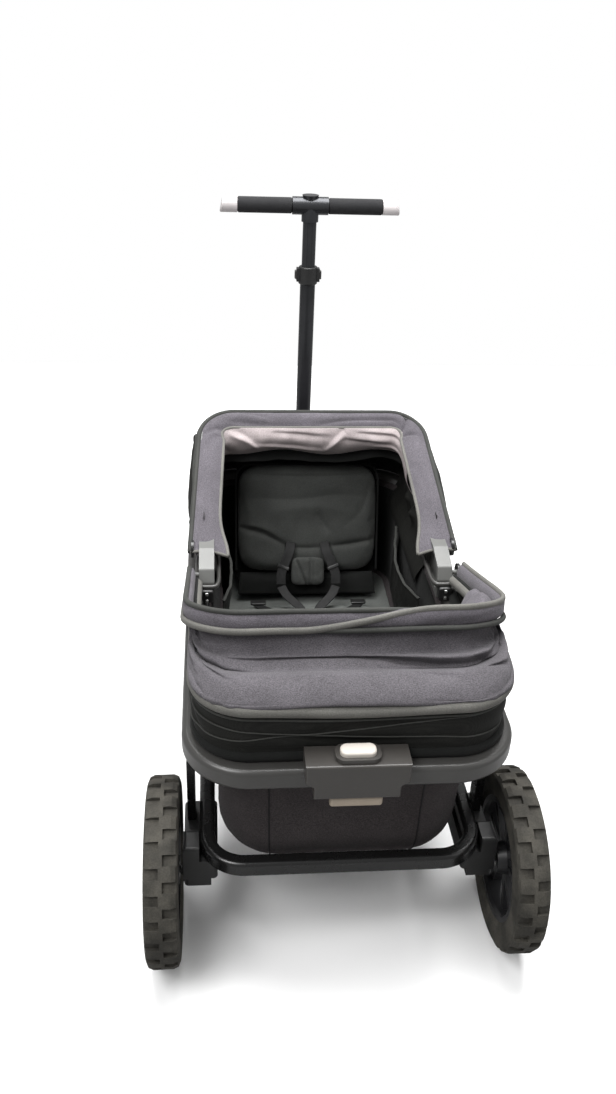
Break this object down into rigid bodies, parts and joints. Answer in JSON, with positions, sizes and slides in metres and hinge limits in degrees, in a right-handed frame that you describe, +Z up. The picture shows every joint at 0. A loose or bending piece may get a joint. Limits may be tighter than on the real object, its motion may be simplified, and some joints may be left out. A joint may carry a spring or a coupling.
{
  "type": "pet stroller",
  "caption": "Wagon-style pet stroller with a fabric tub, folding canopies at both ends, seat with harness, large rear wheels, swivel casters and a telescoping T-handle.",
  "frame": {"origin": "on the floor below the middle of the wagon, at the bottom centre of the whole object's box", "axes": "+Z up, +Y lengthwise towards the T-handle end, +X across the wagon"},
  "size_m": [0.653, 1.1707, 1.0521],
  "materials": {
    "moulded_black": "satin",
    "frame_black": "satin",
    "board": "matte",
    "tub_fabric": "woven, heathered",
    "seat_fabric": "woven, padded",
    "webbing": "woven webbing",
    "steel": "brushed",
    "bumper_grey": "satin",
    "post_grey": "satin",
    "latch_grey": "satin",
    "button_cream": "satin",
    "lever_beige": "satin",
    "mesh": "knitted mesh",
    "canopy_fabric": "woven, heathered",
    "bow_black": "satin",
    "tyre_rubber": "matte rubber",
    "rim_black": "satin",
    "handle_metal": "satin",
    "handle_plastic": "matte",
    "grip_foam": "foam",
    "cap_pale": "satin"
  },
  "bodies": {
    "lower_frame": {"lower_loop": "frame_black", "floor_boards": "board", "tub_shell": "tub_fabric", "seat_pad": "seat_fabric", "near_bracket_left": "moulded_black", "near_bracket_right": "moulded_black", "caster_housing_left": "moulded_black", "caster_housing_right": "moulded_black", "stub_axles": "steel", "handle_bracket": "moulded_black", "handle_pivot_pin": "steel", "seat_hinge": "steel", "harness_buckle": "rim_black"},
    "upper_frame": {"near_bumper": "bumper_grey", "far_bumper": "bumper_grey", "side_rail_left": "bumper_grey", "side_rail_right": "bumper_grey", "guide_posts": "frame_black", "mid_post_left": "post_grey", "mid_post_right": "post_grey", "latch_housing": "latch_grey", "mesh_band": "mesh"},
    "scissor_outer": {"scissor_arms_outer": "frame_black"},
    "scissor_inner": {"scissor_arms_inner": "frame_black"},
    "latch_button": {"latch_button": "button_cream"},
    "squeeze_lever": {"squeeze_lever": "lever_beige"},
    "near_canopy_bow": {"near_bow": "bow_black", "near_canopy": "canopy_fabric"},
    "far_canopy_bow": {"far_bow": "bow_black", "far_canopy": "canopy_fabric"},
    "seat_back": {"seat_back_board": "board", "seat_back_pad": "seat_fabric", "lumbar_cushion": "seat_fabric", "harness_straps": "webbing"},
    "handle_base": {"handle_lower_tube": "handle_metal", "handle_collar": "handle_plastic"},
    "handle_top": {"handle_upper_tube": "handle_metal", "handle_tee": "handle_plastic", "grip_left": "grip_foam", "grip_right": "grip_foam", "end_cap_left": "cap_pale", "end_cap_right": "cap_pale"},
    "near_wheel_left": {"near_tyre_left": "tyre_rubber", "near_rim_left": "rim_black", "near_bearings_left": "steel"},
    "hub_button_left": {"near_hub_button_left": "rim_black"},
    "caster_left": {"caster_fork_left": "moulded_black", "caster_axle_left": "steel"},
    "caster_wheel_left": {"caster_tyre_left": "tyre_rubber", "caster_rim_left": "rim_black"},
    "collar_button_left": {"collar_button_left": "handle_plastic"},
    "near_wheel_right": {"near_tyre_right": "tyre_rubber", "near_rim_right": "rim_black", "near_bearings_right": "steel"},
    "hub_button_right": {"near_hub_button_right": "rim_black"},
    "caster_right": {"caster_fork_right": "moulded_black", "caster_axle_right": "steel"},
    "caster_wheel_right": {"caster_tyre_right": "tyre_rubber", "caster_rim_right": "rim_black"},
    "collar_button_right": {"collar_button_right": "handle_plastic"}
  },
  "joints": [
    {"name": "frame_collapse", "type": "slide", "parent": "lower_frame", "child": "upper_frame", "axis": [0, 0, 1], "range_m": [-0.135, 0], "deforming": ["tub_shell"]},
    {"name": "scissor_outer_swing", "type": "hinge", "parent": "lower_frame", "child": "scissor_outer", "pos_m": [0, -0.215, 0.207], "axis": [1, 0, 0], "range_deg": [-17.84, 0.3]},
    {"name": "scissor_inner_swing", "type": "hinge", "parent": "upper_frame", "child": "scissor_inner", "pos_m": [0, -0.215, 0.398], "axis": [1, 0, 0], "range_deg": [-0.3, 17.84]},
    {"name": "near_wheel_spin_left", "type": "hinge", "parent": "lower_frame", "child": "near_wheel_left", "pos_m": [-0.2945, -0.43, 0.155], "axis": [1, 0, 0], "continuous": true},
    {"name": "hub_button_press_left", "type": "slide", "parent": "near_wheel_left", "child": "hub_button_left", "axis": [1, 0, 0], "range_m": [0, 0.003], "stiffness_N_per_m": 600, "springref_m": -0.004},
    {"name": "caster_swivel_left", "type": "hinge", "parent": "lower_frame", "child": "caster_left", "pos_m": [-0.215, 0.385, 0.22], "axis": [0, 0, 1], "continuous": true},
    {"name": "caster_spin_left", "type": "hinge", "parent": "caster_left", "child": "caster_wheel_left", "pos_m": [-0.215, 0.35, 0.08], "axis": [1, 0, 0], "continuous": true},
    {"name": "near_wheel_spin_right", "type": "hinge", "parent": "lower_frame", "child": "near_wheel_right", "pos_m": [0.2945, -0.43, 0.155], "axis": [1, 0, 0], "continuous": true},
    {"name": "hub_button_press_right", "type": "slide", "parent": "near_wheel_right", "child": "hub_button_right", "axis": [-1, 0, 0], "range_m": [0, 0.003], "stiffness_N_per_m": 600, "springref_m": -0.004},
    {"name": "caster_swivel_right", "type": "hinge", "parent": "lower_frame", "child": "caster_right", "pos_m": [0.215, 0.385, 0.22], "axis": [0, 0, 1], "continuous": true},
    {"name": "caster_spin_right", "type": "hinge", "parent": "caster_right", "child": "caster_wheel_right", "pos_m": [0.215, 0.35, 0.08], "axis": [1, 0, 0], "continuous": true},
    {"name": "handle_tilt", "type": "hinge", "parent": "lower_frame", "child": "handle_base", "pos_m": [0, 0.53843, 0.2], "axis": [-1, 0, 0], "range_deg": [0, 75]},
    {"name": "handle_extend", "type": "slide", "parent": "handle_base", "child": "handle_top", "axis": [0, 0.0343, 0.9994], "range_m": [-0.085, 0.35]},
    {"name": "collar_button_press_left", "type": "slide", "parent": "handle_base", "child": "collar_button_left", "axis": [1, 0, 0], "range_m": [0, 0.0025], "stiffness_N_per_m": 600, "springref_m": -0.004},
    {"name": "collar_button_press_right", "type": "slide", "parent": "handle_base", "child": "collar_button_right", "axis": [-1, 0, 0], "range_m": [0, 0.0025], "stiffness_N_per_m": 600, "springref_m": -0.004},
    {"name": "latch_button_press", "type": "slide", "parent": "upper_frame", "child": "latch_button", "axis": [0, 0, -1], "range_m": [0, 0.004], "stiffness_N_per_m": 900, "springref_m": -0.004},
    {"name": "squeeze_lever_pull", "type": "slide", "parent": "upper_frame", "child": "squeeze_lever", "axis": [0, 0, 1], "range_m": [0, 0.008], "stiffness_N_per_m": 500, "springref_m": -0.004},
    {"name": "near_canopy_tilt", "type": "hinge", "parent": "upper_frame", "child": "near_canopy_bow", "pos_m": [0, -0.042, 0.494], "axis": [-1, 0, 0], "range_deg": [0, 70], "deforming": ["near_canopy"]},
    {"name": "far_canopy_tilt", "type": "hinge", "parent": "upper_frame", "child": "far_canopy_bow", "pos_m": [0, 0.025, 0.51], "axis": [-1, 0, 0], "range_deg": [-64, 14], "deforming": ["far_canopy"]},
    {"name": "seat_back_fold", "type": "hinge", "parent": "lower_frame", "child": "seat_back", "pos_m": [0, 0.335, 0.232], "axis": [1, 0, 0], "range_deg": [0, 65], "deforming": ["lumbar_cushion", "harness_straps"]}
  ],
  "couplings": [
    {"joint": "scissor_outer_swing", "follows": "frame_collapse", "rad_per_m": 2.2677},
    {"joint": "scissor_inner_swing", "follows": "frame_collapse", "rad_per_m": -2.2677}
  ]
}
